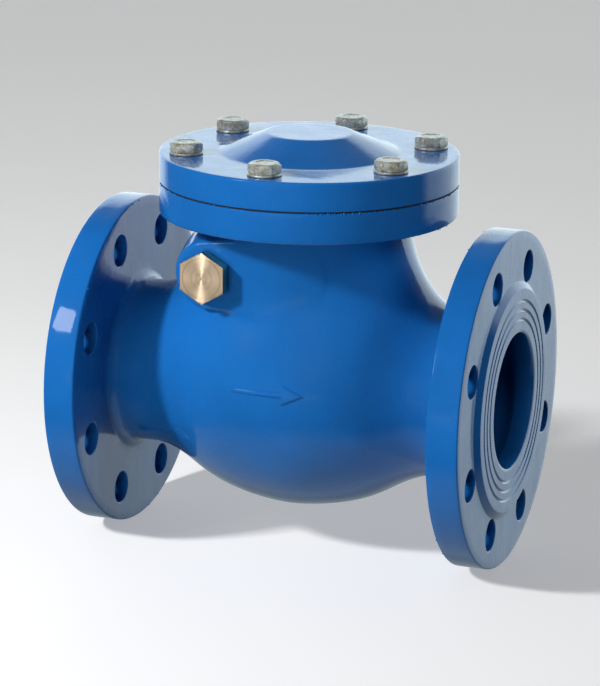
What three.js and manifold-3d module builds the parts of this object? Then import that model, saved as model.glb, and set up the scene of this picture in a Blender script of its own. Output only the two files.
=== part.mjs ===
// Flanged swing check valve, DN80 PN16: cast body, bolted cover, brass hinge plug,
// and inside it a swing arm with a disc that closes on a brass seat ring.
// X runs along the pipe in the direction of flow, Z is up, and the base of the flanges is at z = 0.
// Inside the valve group all heights are measured from the pipe axis.
import * as THREE from 'three';
import Module from 'manifold-3d';
import { mergeVertices } from 'three/addons/utils/BufferGeometryUtils.js';

const wasm = await Module();
wasm.setup();

const GAP = 0.3;
const ROUND = 48;

// Pipe connection.
const FACE_X = 130;
const BORE_R = 40;
const FLANGE_R = 100;
const FLANGE_BACK_X = 108;
const RAISED_R = 66;
const RAISED_FOOT_R = 70;
const RAISED_T = 3;
const FLANGE_BOLTS = 8;
const FLANGE_PCD_R = 80;
const FLANGE_HOLE_R = 9.5;
const PIPE_AXIS_Z = FLANGE_R * Math.cos(Math.PI / ROUND);

// Body casting.
const NECK_R = 49;
const NECK_FILLET = 5;
const BELLY_HALF = 97;
const BELLY_R = 76;
const CHAMBER_HALF = 89;
const CHAMBER_R = 68;
const PASSAGE_R = 42;
const OUTLET_LIP_X = 118.5;
const BONNET_R = 60;
const OPENING_R = 52;
const OPENING_FLOOR_Z = 54;

// Body top flange, gasket and cover.
const TOP_R = 88.4;
const TOP_UNDERSIDE_Z = 102.3;
const TOP_FACE_Z = 120.4;
const GASKET_T = 0.7;
const FACE_GAP = 0.15;
const COVER_BASE_Z = TOP_FACE_Z + GASKET_T + 2 * FACE_GAP;
const COVER_TOP_Z = 138.3;
const DOME_BASE_R = 53;
const DOME_TOP_R = 25;
const DOME_TOP_Z = 149.8;
const COVER_BOLTS = 6;
const COVER_PCD_R = 73;
const COVER_FIRST_BOLT = Math.PI / 6;

// Hinge: pin along Y, bosses outside and lugs inside the bonnet neck.
const HINGE_X = -39.5;
const HINGE_Z = 73;
const BOSS_FACE_Y = -61.5;
const BOSS_FACE_R = 20;
const BOSS_ROOT_R = 26;
const BOSS_ROOT_Y = 40;
const REAR_BOSS_Y = 56;
const LUG_R = 14.5;
const LUG_FACE_Y = 22.3;
const PIN_R = 6;
const BUSH_R = 9;
const BUSH_END_Y = 41;
const PIN_FRONT_Y = -48.5;
const PIN_REAR_Y = 46;
const PLUG_SHANK_R = 10.4;
const PLUG_SHANK_LENGTH = 13;
const PLUG_ACROSS_FLATS = 27;
const HUB_R = 10;
const HUB_HALF = 20;
const STOP_LUG_TOP = 11.6;
const SWING_LIMIT_CLEARANCE = 2;

// Seat and disc, stacked along X from the seat towards the outlet.
const NOZZLE_R = 53;
const SEAT_R = 47;
const SEAT_FACE_X = -45.7;
const SEAT_DEPTH = 8;
const FACING_T = 3.5;
const DISC_PLATE_T = 7;
const DISC_BOSS_T = 3.6;
const EYE_T = 9;
const EYE_R = 16.5;
const STUD_R = 6;
const STUD_END_X = -6;
const DISC_WASHER_T = 2;
const DISC_NUT_T = 7;
const DISC_NUT_FLATS = 19;
const SPLIT_PIN_R = 1.5;
const SPLIT_PIN_X = -9.7;

const FACING_X = SEAT_FACE_X + GAP;
const PLATE_X = FACING_X + FACING_T + GAP;
const DISC_BACK_X = PLATE_X + DISC_PLATE_T;
const EYE_X = DISC_BACK_X + DISC_BOSS_T + GAP;
const DISC_WASHER_X = EYE_X + EYE_T + GAP;
const DISC_NUT_X = DISC_WASHER_X + DISC_WASHER_T + GAP;

// Cover fasteners, M10.
const SCREW_R = 5;
const SCREW_LENGTH = 30;
const HEAD_FLATS = 17;
const HEAD_T = 5.6;
const WASHER_R = 10;
const WASHER_T = 1.5;
const WASHER_Z = COVER_TOP_Z + FACE_GAP;
const HEAD_Z = WASHER_Z + WASHER_T + FACE_GAP;
const SCREW_TIP_Z = HEAD_Z - SCREW_LENGTH;

const enamel = new THREE.MeshStandardMaterial({ color: 0x1558a8, roughness: 0.22, metalness: 0.0 });
const brass = new THREE.MeshStandardMaterial({ color: 0xb8924a, roughness: 0.32, metalness: 1.0 });
const zinc = new THREE.MeshStandardMaterial({ color: 0xa9a294, roughness: 0.4, metalness: 1.0 });
const stainless = new THREE.MeshStandardMaterial({ color: 0xb4b6b8, roughness: 0.28, metalness: 1.0 });
const gasketFibre = new THREE.MeshStandardMaterial({ color: 0x16171a, roughness: 0.8, metalness: 0.0 });
const sealRubber = new THREE.MeshStandardMaterial({ color: 0x1b1b1c, roughness: 0.65, metalness: 0.0 });

// A closed geometry as a solid that can be joined and cut.
function solid(geometry) {
  const bare = geometry.clone();
  bare.deleteAttribute('normal');
  bare.deleteAttribute('uv');
  const merged = mergeVertices(bare, 1e-4);
  const corners = merged.index.array;
  const kept = [];
  for (let i = 0; i < corners.length; i += 3) {
    const [a, b, c] = corners.slice(i, i + 3);
    if (a !== b && b !== c && c !== a) {
      kept.push(a, b, c);
    }
  }
  const vertProperties = new Float32Array(merged.attributes.position.array);
  return new wasm.Manifold(new wasm.Mesh({ numProp: 3, vertProperties, triVerts: new Uint32Array(kept) }));
}

function geometryOf(shape) {
  const result = shape.getMesh();
  const geometry = new THREE.BufferGeometry();
  geometry.setAttribute('position', new THREE.BufferAttribute(result.vertProperties, 3));
  geometry.setIndex(new THREE.BufferAttribute(result.triVerts, 1));
  geometry.computeVertexNormals();
  return geometry;
}

// Profiles are lists of [radius, distance along the axis], in order of rising distance on the outside.
function revolve(profile, sides) {
  const points = profile.map(([radius, along]) => new THREE.Vector2(radius, along));
  return new THREE.LatheGeometry(points, sides, Math.PI / sides);
}

function revolveX(profile, sides = ROUND) {
  return solid(revolve(profile, sides).rotateZ(-Math.PI / 2));
}

function revolveY(profile, sides = 32) {
  return solid(revolve(profile, sides));
}

function revolveZ(profile, sides = ROUND) {
  return solid(revolve(profile, sides).rotateX(Math.PI / 2));
}

// Profile of a plain rod, and of a ring, between two places on the axis.
function rod(radius, from, to) {
  return [[0, from], [radius, from], [radius, to], [0, to]];
}

function ring(inner, outer, from, to) {
  return [[inner, from], [outer, from], [outer, to], [inner, to], [inner, from]];
}

// Points on the belly's or the chamber's half ellipse, from one X to another.
function ellipsePoints(half, radius, from, to, steps) {
  const start = Math.acos(from / half);
  const end = Math.acos(to / half);
  const points = [];
  for (let i = 0; i <= steps; i += 1) {
    const turn = start + (end - start) * i / steps;
    points.push([radius * Math.sin(turn), half * Math.cos(turn)]);
  }
  return points;
}

// Where an ellipse has the given radius.
function ellipseReach(half, radius, atRadius) {
  return half * Math.sqrt(1 - (atRadius / radius) ** 2);
}

function circlePlaces(count, radius, first) {
  return Array.from({ length: count }, (_, i) => {
    const turn = first + i * 2 * Math.PI / count;
    return [radius * Math.cos(turn), radius * Math.sin(turn)];
  });
}

function hexagon(acrossFlats, height, pointUp) {
  const corner = acrossFlats / Math.sqrt(3);
  const corners = circlePlaces(6, corner, pointUp ? Math.PI / 2 : 0);
  const outline = new THREE.Shape(corners.map(([x, y]) => new THREE.Vector2(x, y)));
  return new THREE.ExtrudeGeometry(outline, { depth: height, bevelEnabled: false });
}

// Outside of the body about the pipe axis: flanges, necks and belly in one turned profile.
function bodyProfile() {
  const half = [];
  half.push([0, FACE_X], [RAISED_R, FACE_X], [RAISED_FOOT_R, FACE_X - RAISED_T]);
  half.push([FLANGE_R, FACE_X - RAISED_T], [FLANGE_R, FLANGE_BACK_X]);
  half.push([NECK_R + NECK_FILLET, FLANGE_BACK_X], [NECK_R + 1.5, FLANGE_BACK_X - 1.5]);
  half.push([NECK_R, FLANGE_BACK_X - NECK_FILLET], [NECK_R, 84]);
  const reach = ellipseReach(BELLY_HALF, BELLY_R, NECK_R + 4);
  const belly = ellipsePoints(BELLY_HALF, BELLY_R, -reach, reach, 14);
  const inletSide = half.map(([radius, x]) => [radius, -x]);
  return [...inletSide, ...belly, ...half.reverse()];
}

// The bonnet neck spreads into the belly like a saddle, wide along the pipe and narrow across it.
function bonnetNeck() {
  const saddleSquash = 0.66;
  const saddle = revolve([
    [0, 28], [70, 28], [92, 42], [84, 51], [74, 61], [66, 74], [61, 88], [60, 94], [0, 94],
  ], 32);
  const flare = solid(saddle.rotateX(Math.PI / 2).scale(1, saddleSquash, 1));
  return revolveZ(rod(BONNET_R, 20, TOP_UNDERSIDE_Z + 1), 40).add(flare);
}

function topFlange() {
  const edge = 1.2;
  return revolveZ([
    [0, TOP_UNDERSIDE_Z], [TOP_R - edge, TOP_UNDERSIDE_Z], [TOP_R, TOP_UNDERSIDE_Z + edge],
    [TOP_R, TOP_FACE_Z], [0, TOP_FACE_Z],
  ]);
}

function hingeBosses() {
  const round = 2;
  const rootDepth = 15;
  const front = revolveY([
    [0, BOSS_FACE_Y], [BOSS_FACE_R - round, BOSS_FACE_Y], [BOSS_FACE_R, BOSS_FACE_Y + round],
    [BOSS_ROOT_R, -BOSS_ROOT_Y], [BOSS_ROOT_R, rootDepth - BOSS_ROOT_Y], [0, rootDepth - BOSS_ROOT_Y],
  ]).translate([HINGE_X, 0, HINGE_Z]);
  const rear = revolveY([
    [0, BOSS_ROOT_Y - rootDepth], [BOSS_ROOT_R, BOSS_ROOT_Y - rootDepth], [BOSS_ROOT_R, BOSS_ROOT_Y],
    [BOSS_FACE_R, REAR_BOSS_Y - 4], [BOSS_FACE_R - 5, REAR_BOSS_Y], [0, REAR_BOSS_Y],
  ]).translate([HINGE_X, 0, HINGE_Z]);
  const padEndX = -8;
  const padDepth = 36;
  const pad = new THREE.BoxGeometry(padEndX - HINGE_X, padDepth, 2 * (BOSS_FACE_R - 1));
  pad.translate((padEndX + HINGE_X) / 2, BOSS_FACE_Y + padDepth / 2 + GAP, HINGE_Z - 1);
  return front.add(rear).add(solid(pad));
}

// Inlet passage, seat recess, chamber and outlet passage, all on the pipe axis.
function waterway() {
  const past = FACE_X + 1;
  const recessX = SEAT_FACE_X - SEAT_DEPTH - GAP;
  const nozzleX = SEAT_FACE_X - GAP;
  const pocketX = -ellipseReach(CHAMBER_HALF, CHAMBER_R, NOZZLE_R);
  const neckX = ellipseReach(CHAMBER_HALF, CHAMBER_R, PASSAGE_R);
  return revolveX([
    [0, -past], [BORE_R, -past], [BORE_R, recessX], [SEAT_R + GAP, recessX],
    [SEAT_R + GAP, nozzleX], [NOZZLE_R, nozzleX],
    ...ellipsePoints(CHAMBER_HALF, CHAMBER_R, pocketX, neckX, 10),
    [PASSAGE_R, OUTLET_LIP_X - 2], [BORE_R, OUTLET_LIP_X], [BORE_R, past], [0, past],
  ], 40);
}

function hingeLugs() {
  const toWall = 30;
  const front = revolveY(rod(LUG_R, -LUG_FACE_Y - toWall, -LUG_FACE_Y), 24);
  const rear = revolveY(rod(LUG_R, LUG_FACE_Y, LUG_FACE_Y + toWall), 24);
  return front.add(rear).translate([HINGE_X, 0, HINGE_Z]);
}

function hingeBores() {
  const clearRound = revolveY(rod(HUB_R + SWING_LIMIT_CLEARANCE, -LUG_FACE_Y, LUG_FACE_Y), 24);
  const bushBore = revolveY(rod(BUSH_R + GAP, PIN_FRONT_Y - 2, BUSH_END_Y + GAP), 24);
  const pinBore = revolveY(rod(PIN_R + GAP, 0, PIN_REAR_Y + 1), 24);
  const plugBore = revolveY(rod(PLUG_SHANK_R + GAP, BOSS_FACE_Y - 1, PIN_FRONT_Y - 1), 24);
  return clearRound.add(bushBore).add(pinBore).add(plugBore).translate([HINGE_X, 0, HINGE_Z]);
}

function flangeHoles() {
  const drill = revolveX(rod(FLANGE_HOLE_R, FLANGE_BACK_X - 1, FACE_X + 1), 16);
  const places = circlePlaces(FLANGE_BOLTS, FLANGE_PCD_R, Math.PI / FLANGE_BOLTS);
  const outlet = wasm.Manifold.union(places.map(([y, z]) => drill.translate([0, y, z])));
  return outlet.add(outlet.rotate([0, 0, 180]));
}

function screwHoles(radius, from, to) {
  const drill = revolveZ(rod(radius, from, to), 14);
  const places = circlePlaces(COVER_BOLTS, COVER_PCD_R, COVER_FIRST_BOLT);
  return wasm.Manifold.union(places.map(([x, y]) => drill.translate([x, y, 0])));
}

function valveBody() {
  const outside = revolveX(bodyProfile()).add(bonnetNeck()).add(topFlange()).add(hingeBosses());
  const opening = revolveZ(rod(OPENING_R, OPENING_FLOOR_Z, TOP_FACE_Z + 1), 40);
  const shell = outside.subtract(waterway()).subtract(opening);
  const lugged = shell.add(hingeLugs()).subtract(hingeBores());
  return lugged.subtract(flangeHoles()).subtract(screwHoles(SCREW_R + GAP, SCREW_TIP_Z - 1.5, TOP_FACE_Z + 1));
}

function bonnetCover() {
  const edge = 1.5;
  const cover = revolveZ([
    [0, 141], [24, 141], [46, 130], [46, COVER_BASE_Z], [TOP_R, COVER_BASE_Z],
    [TOP_R, COVER_TOP_Z - edge], [TOP_R - edge, COVER_TOP_Z], [DOME_BASE_R + 1.5, COVER_TOP_Z],
    [DOME_BASE_R - 1.5, COVER_TOP_Z + 0.9], [DOME_TOP_R + 3, DOME_TOP_Z - 1],
    [DOME_TOP_R - 2, DOME_TOP_Z], [0, DOME_TOP_Z],
  ]);
  return cover.subtract(screwHoles(SCREW_R + 0.5, COVER_BASE_Z - 1, COVER_TOP_Z + 1));
}

function coverGasket() {
  const base = TOP_FACE_Z + FACE_GAP;
  const sheet = revolveZ(ring(OPENING_R + 1, TOP_R - 0.4, base, base + GASKET_T));
  return sheet.subtract(screwHoles(SCREW_R + 0.8, base - 1, base + GASKET_T + 1));
}

function coverBolt() {
  const head = solid(hexagon(HEAD_FLATS, HEAD_T, false));
  const crown = revolveZ([[0, 0], [12, 0], [12, HEAD_T - 2.2], [HEAD_FLATS / 2, HEAD_T], [0, HEAD_T]], 24);
  const shank = revolveZ([[0, -SCREW_LENGTH], [SCREW_R - 1, -SCREW_LENGTH], [SCREW_R, 1 - SCREW_LENGTH],
    [SCREW_R, 1], [0, 1]], 14);
  return head.intersect(crown).add(shank);
}

// Front face towards -Y, with the shank screwed into the boss behind it.
function hingePlug() {
  const thick = 7.4;
  const hex = solid(hexagon(PLUG_ACROSS_FLATS, thick, true).rotateX(Math.PI / 2));
  const crown = revolveY([[0, -thick], [12.6, -thick], [15.6, 1.6 - thick], [16, 0], [0, 0]]);
  const shank = revolveY([[0, -1], [PLUG_SHANK_R, -1], [PLUG_SHANK_R, PLUG_SHANK_LENGTH - 1],
    [PLUG_SHANK_R - 1, PLUG_SHANK_LENGTH], [0, PLUG_SHANK_LENGTH]], 24);
  return hex.intersect(crown).add(shank);
}

// Side outline of the web between hub and eye, in X and Z from the pin, then its hub, eye and stop lug.
function swingArm() {
  const eyeX = EYE_X - HINGE_X;
  const webHalf = 8;
  const outline = new THREE.Shape([
    [-5, -6], [eyeX, -24], [eyeX, -HINGE_Z], [eyeX + EYE_T, -HINGE_Z], [eyeX + EYE_T, -20], [8, 3],
  ].map(([x, z]) => new THREE.Vector2(x, z)));
  const web = new THREE.ExtrudeGeometry(outline, { depth: 2 * webHalf, bevelEnabled: false });
  const lug = new THREE.BoxGeometry(6, 2 * webHalf, STOP_LUG_TOP);
  const hub = revolveY(rod(HUB_R, -HUB_HALF, HUB_HALF), 24);
  const eye = revolveX(rod(EYE_R, eyeX, eyeX + EYE_T), 24).translate([0, 0, -HINGE_Z]);
  const arm = hub.add(eye)
    .add(solid(web.rotateX(Math.PI / 2).translate(0, webHalf, 0)))
    .add(solid(lug.translate(0, 0, STOP_LUG_TOP / 2)));
  const pinHole = revolveY(rod(PIN_R + GAP, -HUB_HALF - 1, HUB_HALF + 1), 24);
  const studHole = revolveX(rod(STUD_R + 0.4, eyeX - 1, eyeX + EYE_T + 1), 24).translate([0, 0, -HINGE_Z]);
  return arm.subtract(pinHole).subtract(studHole);
}

function valveDisc() {
  const spigotR = 38;
  const disc = revolveX([
    [0, FACING_X + 0.6], [spigotR, FACING_X + 0.6], [spigotR, PLATE_X], [SEAT_R, PLATE_X],
    [SEAT_R, DISC_BACK_X - 2], [SEAT_R - 4, DISC_BACK_X], [16, DISC_BACK_X],
    [14, EYE_X - GAP], [STUD_R, EYE_X - GAP], [STUD_R, STUD_END_X - 1], [STUD_R - 1, STUD_END_X], [0, STUD_END_X],
  ], 36);
  const pinHole = revolveY(rod(SPLIT_PIN_R + GAP, -10, 10), 12).translate([SPLIT_PIN_X, 0, 0]);
  return disc.subtract(pinHole);
}

function discNut() {
  const hex = solid(hexagon(DISC_NUT_FLATS, DISC_NUT_T, true).rotateY(Math.PI / 2));
  return hex.subtract(revolveX(rod(STUD_R + GAP, -1, DISC_NUT_T + 1), 24));
}

function splitPin() {
  const legs = revolveY(rod(SPLIT_PIN_R, -8.5, 8.5), 10);
  const loop = new THREE.TorusGeometry(1.9, 0.8, 6, 12).rotateY(Math.PI / 2).translate(0, -10.2, 0);
  return legs.add(solid(loop));
}

const valve = new THREE.Group();
valve.position.z = PIPE_AXIS_Z;

function place(parent, name, shape, material, x = 0, y = 0, z = 0) {
  const piece = new THREE.Mesh(geometryOf(shape), material);
  piece.name = name;
  piece.position.set(x, y, z);
  parent.add(piece);
}

// Casting, cover and seat.
place(valve, 'valve_body', valveBody(), enamel);
place(valve, 'bonnet_cover', bonnetCover(), enamel);
place(valve, 'cover_gasket', coverGasket(), gasketFibre);
place(valve, 'seat_ring', revolveX(ring(BORE_R, SEAT_R, 0, SEAT_DEPTH), 40), brass, SEAT_FACE_X - SEAT_DEPTH);

// Hinge, with its own origin on the pin's axis.
const hinge = new THREE.Group();
hinge.position.set(HINGE_X, 0, HINGE_Z);
valve.add(hinge);
const bushLength = BUSH_END_Y - LUG_FACE_Y - GAP;
const bush = revolveY(ring(PIN_R + GAP, BUSH_R, -bushLength / 2, bushLength / 2), 24);
const thrustT = LUG_FACE_Y - HUB_HALF - 2 * GAP;
const thrustWasher = revolveY(ring(PIN_R + GAP, HUB_R - 0.5, -thrustT / 2, thrustT / 2), 24);
for (const [side, direction] of [['front', -1], ['rear', 1]]) {
  const bushY = direction * (LUG_FACE_Y + GAP + bushLength / 2);
  const thrustY = direction * (HUB_HALF + GAP + thrustT / 2);
  place(hinge, `hinge_bush_${side}`, bush, brass, 0, bushY);
  place(hinge, `arm_thrust_washer_${side}`, thrustWasher, stainless, 0, thrustY);
}
place(hinge, 'hinge_pin', revolveY(rod(PIN_R, PIN_FRONT_Y, PIN_REAR_Y), 24), stainless);
place(hinge, 'swing_arm', swingArm(), stainless);
const sealT = 1;
const sealRing = revolveY(ring(PLUG_SHANK_R + GAP, PLUG_ACROSS_FLATS / 2 - 0.6, -sealT, 0), 24);
place(hinge, 'hinge_plug_seal', sealRing, gasketFibre, 0, BOSS_FACE_Y - GAP);
place(hinge, 'hinge_plug', hingePlug(), brass, 0, BOSS_FACE_Y - sealT - 2 * GAP);

// Disc and what turns with it on the stud's axis.
place(valve, 'disc', valveDisc(), stainless);
place(valve, 'disc_facing_ring', revolveX(ring(38.3, SEAT_R, 0, FACING_T), 36), sealRubber, FACING_X);
const discWasher = revolveX(ring(STUD_R + GAP, 12, 0, DISC_WASHER_T), 24);
place(valve, 'disc_washer', discWasher, stainless, DISC_WASHER_X);
place(valve, 'disc_nut', discNut(), stainless, DISC_NUT_X);
place(valve, 'disc_split_pin', splitPin(), brass, SPLIT_PIN_X);

// Cover screws and washers.
const screw = coverBolt();
const screwWasher = revolveZ(ring(SCREW_R + GAP, WASHER_R, 0, WASHER_T), 20);
circlePlaces(COVER_BOLTS, COVER_PCD_R, COVER_FIRST_BOLT).forEach(([x, y], i) => {
  place(valve, `cover_bolt_${i + 1}`, screw, zinc, x, y, HEAD_Z);
  place(valve, `cover_washer_${i + 1}`, screwWasher, zinc, x, y, WASHER_Z);
});

export default valve;
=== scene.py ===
import math

import bmesh
import bpy
import numpy as np
from mathutils import Matrix, Quaternion, Vector


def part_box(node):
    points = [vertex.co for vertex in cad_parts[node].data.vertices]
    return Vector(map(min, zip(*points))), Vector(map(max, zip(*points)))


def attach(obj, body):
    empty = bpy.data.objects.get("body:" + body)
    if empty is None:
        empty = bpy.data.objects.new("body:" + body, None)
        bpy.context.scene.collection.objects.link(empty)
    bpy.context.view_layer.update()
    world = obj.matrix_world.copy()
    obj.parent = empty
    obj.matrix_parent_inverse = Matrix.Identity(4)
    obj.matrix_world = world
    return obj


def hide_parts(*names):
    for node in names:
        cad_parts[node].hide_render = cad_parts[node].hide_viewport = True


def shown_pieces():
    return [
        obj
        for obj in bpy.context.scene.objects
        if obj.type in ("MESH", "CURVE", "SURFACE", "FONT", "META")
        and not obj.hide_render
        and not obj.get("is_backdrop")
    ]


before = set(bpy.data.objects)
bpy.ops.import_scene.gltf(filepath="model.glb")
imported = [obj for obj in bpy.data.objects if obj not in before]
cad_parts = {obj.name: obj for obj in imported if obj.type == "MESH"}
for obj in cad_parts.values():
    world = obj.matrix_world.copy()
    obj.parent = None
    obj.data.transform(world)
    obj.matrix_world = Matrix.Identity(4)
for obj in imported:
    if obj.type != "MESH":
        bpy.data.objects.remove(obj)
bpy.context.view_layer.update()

# Flanged swing check valve. Shapes are worked out in millimetres with the pipe's axis at height zero,
# then lifted to the frame's height and turned to metres as each piece's mesh is made.
MM = 0.001


def node_box(node):
    """A node's lowest and highest corners in millimetres, measured from the pipe's axis."""
    low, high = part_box(node)
    lift = np.array([0, 0, AXIS_Z])
    return np.array(low) / MM - lift, np.array(high) / MM - lift


def node_centre(node):
    low, high = node_box(node)
    return (low + high) / 2


body_low, body_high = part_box("valve_body")
AXIS_Z = (body_high.y - body_low.y) / 2 / MM

# Driving sizes of the castings, in millimetres.
GAP = 0.3
FACE_GAP = 0.15
FACE_X = node_box("valve_body")[1][0]
BORE_R = 40
FLANGE_R = 100
FLANGE_BACK_X = 108
RAISED_R = 66.2
RAISED_FOOT_R = 70.3
RAISED_T = 3
BOLT_COUNT = 8
BOLT_CIRCLE_R = 80
BOLT_HOLE_R = 9.5
NECK_R = 49
BELLY_HALF = 97
BELLY_R = 76
CHAMBER_HALF = 89
CHAMBER_R = 68
NOZZLE_R = 53
PASSAGE_R = 42
OUTLET_LIP_X = 118.5
BONNET_R = 60
OPENING_R = 52
OPENING_FLOOR_Z = 54
TOP_R = 88.4
TOP_UNDERSIDE_Z = 102.3
GASKET_LOW, GASKET_HIGH = (corner[2] for corner in node_box("cover_gasket"))
TOP_FACE_Z = GASKET_LOW - FACE_GAP
COVER_BASE_Z = GASKET_HIGH + FACE_GAP
COVER_TOP_Z = 138.3
DOME_FOOT_R = 53.5
DOME_TOP_R = 25.5
DOME_TOP_Z = node_box("bonnet_cover")[1][2]
HOLLOW_R = 46
HOLLOW_SHOULDER_Z = 130
HOLLOW_ROOF_R = 24
HOLLOW_ROOF_Z = 141

# Cover fasteners.
COVER_BOLTS = 6
COVER_PCD_R = 73
SCREW_R = 5
SCREW_TAPPING_R = 5.3
SCREW_HOLE_R = 5.5
HEAD_FLATS = 17
WASHER_R = 10
WASHER_BORE_R = 5.3

# Colour of the dry enamel.
ENAMEL = (0.007, 0.106, 0.355)

# Hinge line, from the frame, with its bosses, bores and fittings.
HINGE_X, _, HINGE_Z = node_centre("hinge_pin")
BOSS_FACE_Y = node_box("hinge_plug_seal")[1][1] + GAP
BOSS_FACE_R = 20
REAR_BOSS_Y = 56
LUG_FACE_Y = 22.3
LUG_R = 14.5
LUG_LENGTH = 30
PIN_R = 6
PIN_BORE_R = 6.3
BUSH_R = 9
BUSH_BORE_R = 9.3
HUB_ROOM_R = 12
PLUG_FLATS = 27
PLUG_SHANK_R = 10.4
PLUG_BORE_R = 10.7

# Arm and disc.
HUB_R = 10
HUB_HALF = 20
EYE_R = 16.5
EYE_T = 9
EYE_BORE_R = 6.4
WEB_HALF = 8
DISC_R = 47
DISC_T = 7
SPIGOT_R = 38
DISC_BOSS_R = 13.5
DISC_BOSS_T = 3.6
STUD_R = 6
STUD_BORE_R = 6.3
NUT_FLATS = 19
NUT_WASHER_R = 12
SPLIT_PIN_R = 1.5


# Mesh making.

def soften(corners, steps=5):
    """A profile with its corners rounded: each corner is (radius, along) or (radius, along, rounding)."""
    points = []
    for i, corner in enumerate(corners):
        here = complex(corner[0], corner[1])
        rounding = corner[2] if len(corner) > 2 else 0
        if not rounding:
            points.append((here.real, here.imag))
            continue
        before = complex(*corners[i - 1][:2]) - here
        after = complex(*corners[(i + 1) % len(corners)][:2]) - here
        before /= abs(before)
        after /= abs(after)
        half = abs(np.angle(after / before)) / 2
        centre = here + (before + after) / abs(before + after) * rounding / math.sin(half)
        start = here + before * rounding / math.tan(half) - centre
        end = here + after * rounding / math.tan(half) - centre
        sweep = np.angle(end / start)
        for step in range(steps + 1):
            spot = centre + start * np.exp(1j * sweep * step / steps)
            points.append((spot.real, spot.imag))
    return points


def dense(profile, longest=4.0):
    """The profile with points added so that no straight stretch is longer than given."""
    points = [profile[0]]
    for (r0, a0), (r1, a1) in zip(profile, profile[1:]):
        parts = max(1, math.ceil(math.hypot(r1 - r0, a1 - a0) / longest))
        points += [(r0 + (r1 - r0) * k / parts, a0 + (a1 - a0) * k / parts) for k in range(1, parts + 1)]
    return points


def make_piece(name, vertices, faces, smooth_angle=32):
    """A mesh object at the origin, from points in millimetres about the pipe's axis."""
    mesh = bpy.data.meshes.new(name)
    place = (np.asarray(vertices, float) + [0, 0, AXIS_Z]) * MM
    mesh.from_pydata(place.tolist(), [], faces)
    mesh.validate()
    piece = bpy.data.objects.new(name, mesh)
    bpy.context.scene.collection.objects.link(piece)
    shade(piece, smooth_angle)
    return piece


def shade(piece, smooth_angle=32):
    piece.data.shade_smooth()
    piece.data.set_sharp_from_angle(angle=math.radians(smooth_angle))


def turned(name, profile, axis, centre=(0, 0, 0), sides=144, closed=False):
    """A turned solid: (radius, along) points swung about X, Y or Z through centre.

    The points run up the outside; with closed they are a loop that goes up outside and down inside.
    """
    loop = list(profile)
    if closed and loop[0] != loop[-1]:
        loop.append(loop[0])
    angles = np.linspace(0, 2 * math.pi, sides, endpoint=False)
    vertices, rings, faces = [], [], []
    for i, (radius, along) in enumerate(loop):
        if closed and i == len(loop) - 1:
            rings.append(rings[0])
            continue
        first = len(vertices)
        if radius < 1e-6:
            vertices.append((0, 0, along))
            rings.append([first] * sides)
        else:
            vertices += [(radius * math.cos(a), radius * math.sin(a), along) for a in angles]
            rings.append(list(range(first, first + sides)))
    for low, high in zip(rings, rings[1:]):
        for j in range(sides):
            k = (j + 1) % sides
            face = list(dict.fromkeys((low[j], low[k], high[k], high[j])))
            if len(face) > 2:
                faces.append(face)
    local = np.array(vertices, float)
    return make_piece(name, upright_to(local, axis) + np.array(centre, float), faces)


def upright_to(points, axis):
    """Points worked out about the Z axis, swung so that they are about the given one."""
    return {"X": points[:, [2, 0, 1]], "Y": points[:, [1, 2, 0]], "Z": points}[axis]


def plain_rod(name, radius, low, high, axis, centre=(0, 0, 0), sides=48):
    """A plain round bar, for cutting holes and for joining on."""
    return turned(name, [(0, low), (radius, low), (radius, high), (0, high)], axis, centre, sides)


def hex_prism(name, across_flats, low, high, axis, centre, point_up=False, edge=0.35):
    """A hexagonal bar with slightly rounded upright edges."""
    outline = []
    corner_r = across_flats / math.sqrt(3)
    for i in range(6):
        turn = math.radians(60 * i + (90 if point_up else 0))
        outline.append((corner_r * math.cos(turn), corner_r * math.sin(turn), edge))
    flat = soften(outline, steps=3)
    vertices = [(u, v, low) for u, v in flat] + [(u, v, high) for u, v in flat]
    n = len(flat)
    faces = [[i, (i + 1) % n, n + (i + 1) % n, n + i] for i in range(n)]
    faces += [list(range(n))[::-1], list(range(n, 2 * n))]
    local = np.array(vertices, float)
    return make_piece(name, upright_to(local, axis) + np.array(centre, float), faces)


def settle(piece):
    """Makes what a piece's modifiers give its plain mesh, and takes the modifiers off."""
    graph = bpy.context.evaluated_depsgraph_get()
    made = bpy.data.meshes.new_from_object(piece.evaluated_get(graph), depsgraph=graph)
    piece.modifiers.clear()
    worn = piece.data
    piece.data = made
    bpy.data.meshes.remove(worn)


def combine(piece, tool, operation):
    """Joins, cuts or keeps the common part of two closed pieces; the tool is used up."""
    step = piece.modifiers.new("combine", "BOOLEAN")
    step.operation = operation
    step.solver = "MANIFOLD"
    step.object = tool
    settle(piece)
    bpy.data.objects.remove(tool)


def gather(pieces):
    """Several separate closed pieces as one object."""
    first = pieces[0]
    sheet = bmesh.new()
    for piece in pieces:
        sheet.from_mesh(piece.data)
    sheet.to_mesh(first.data)
    sheet.free()
    for piece in pieces[1:]:
        bpy.data.objects.remove(piece)
    return first


def circle_places(count, radius, first=0.0):
    turns = [first + 2 * math.pi * i / count for i in range(count)]
    return [(radius * math.cos(t), radius * math.sin(t)) for t in turns]


# The cast skin: a field of distances, joined with soft fillets, and the surface where it is zero.

def join(a, b, fillet):
    share = np.clip(0.5 + 0.5 * (b - a) / fillet, 0, 1)
    return b * (1 - share) + a * share - fillet * share * (1 - share)


def meet(a, b, rounding):
    return -join(-a, -b, rounding)


def ellipsoid(x, across, half, radius):
    size = np.sqrt((x / half) ** 2 + (across / radius) ** 2)
    slope = np.sqrt((x / half**2) ** 2 + (across / radius**2) ** 2)
    return size * (size - 1) / np.maximum(slope, 1e-6)


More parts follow.
